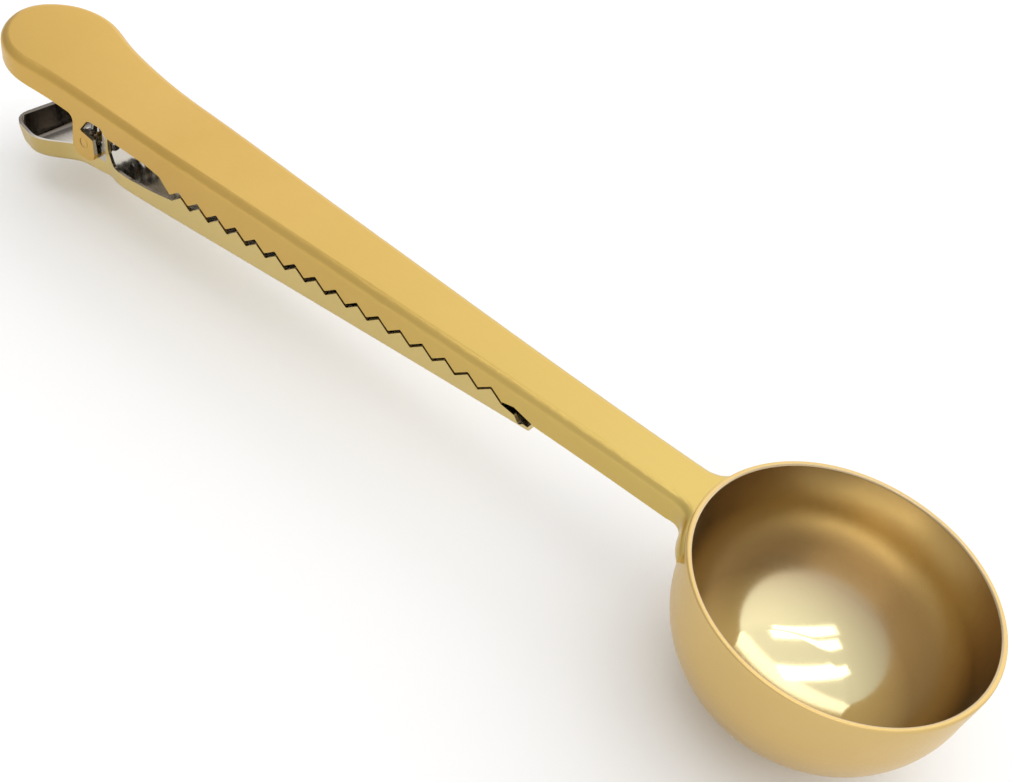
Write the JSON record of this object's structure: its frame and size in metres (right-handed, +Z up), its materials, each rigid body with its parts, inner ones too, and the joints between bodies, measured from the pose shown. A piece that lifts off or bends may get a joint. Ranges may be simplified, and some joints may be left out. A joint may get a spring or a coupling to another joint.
{
  "type": "bag clip",
  "caption": "Long toothed spring clip for closing bags, whose upper half is the handle of a round coffee scoop.",
  "frame": {"origin": "centre of the bowl's flat underside", "axes": "+Z up along the bowl's axis, handle runs towards -X, Y across the handle, XZ is the plane of symmetry"},
  "size_m": [0.1687, 0.0374, 0.0244],
  "materials": {
    "gold_steel": "satin gold-coloured coating on stainless steel sheet",
    "spring_steel": "drawn spring wire"
  },
  "bodies": {
    "scoop": {"bowl": "gold_steel", "handle": "gold_steel", "pivot_pin": "gold_steel", "torsion_spring": "spring_steel"},
    "jaw": {"lower_jaw": "gold_steel"}
  },
  "joints": [
    {"name": "jaw_hinge", "type": "hinge", "parent": "scoop", "child": "jaw", "pos_m": [-0.1274, 0, 0.01385], "axis": [0, 1, 0], "range_deg": [0, 35], "stiffness_Nm_per_rad": 0.055, "springref_deg": -74.48, "deforming": ["torsion_spring"]}
  ]
}
